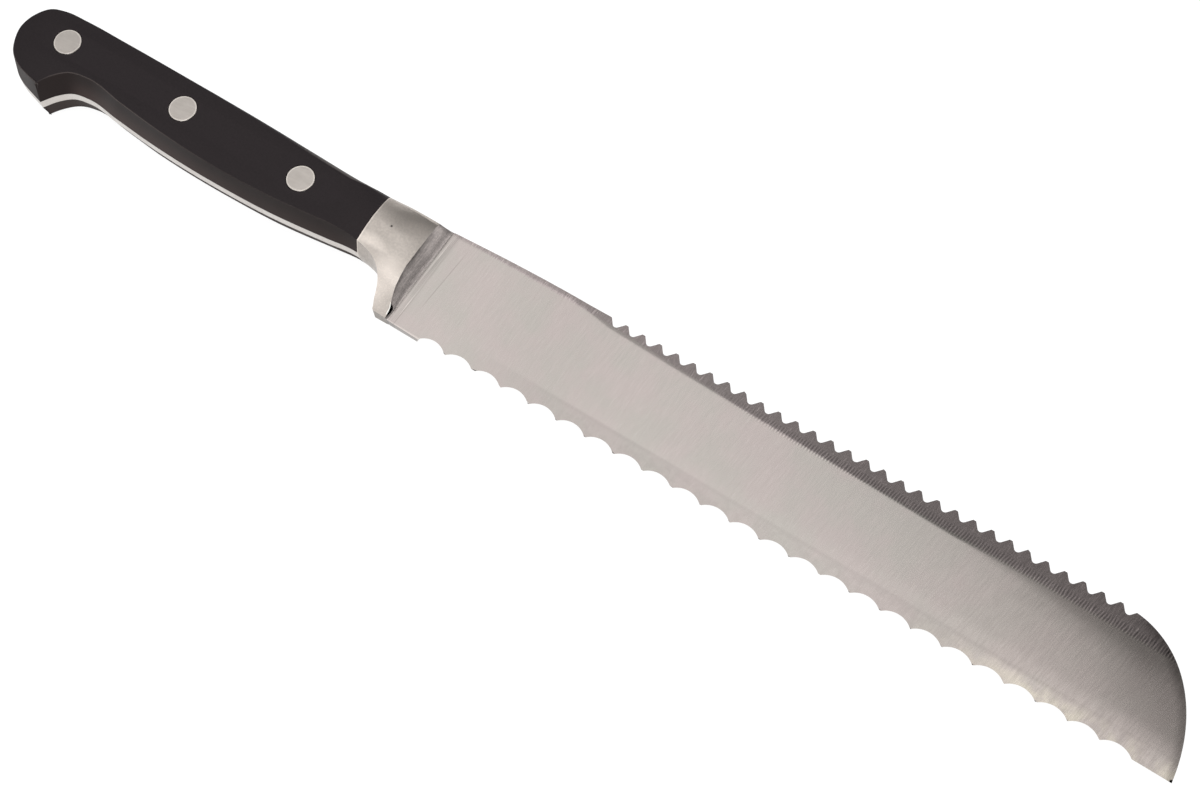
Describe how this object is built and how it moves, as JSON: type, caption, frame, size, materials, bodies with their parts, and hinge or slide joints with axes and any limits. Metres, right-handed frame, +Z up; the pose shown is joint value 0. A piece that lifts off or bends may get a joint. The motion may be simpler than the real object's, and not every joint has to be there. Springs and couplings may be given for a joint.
{
  "type": "frozen food knife",
  "caption": "Forged kitchen knife with a saw-toothed spine, a scalloped edge and a full bolster; full tang between two riveted black handle scales with a hooked pommel.",
  "frame": {"origin": "middle of the knife's box, on the surface that its lower cheek lies on", "axes": "+X along the blade to the tip, +Y from the scalloped edge to the saw back, +Z up through the thickness, out of the cheek that faces the viewer in the picture"},
  "size_m": [0.3623, 0.0328, 0.0155],
  "materials": {
    "blade_steel": "stainless steel, satin ground across the blade",
    "handle_plastic": "black moulded plastic, fine satin",
    "rivet_steel": "stainless steel, ground flush with the handle"
  },
  "bodies": {
    "root": {"forged_blade": "blade_steel", "upper_scale": "handle_plastic", "lower_scale": "handle_plastic", "rear_rivet_post": "rivet_steel", "rear_rivet_sleeve": "rivet_steel", "middle_rivet_post": "rivet_steel", "middle_rivet_sleeve": "rivet_steel", "front_rivet_post": "rivet_steel", "front_rivet_sleeve": "rivet_steel"}
  },
  "joints": []
}
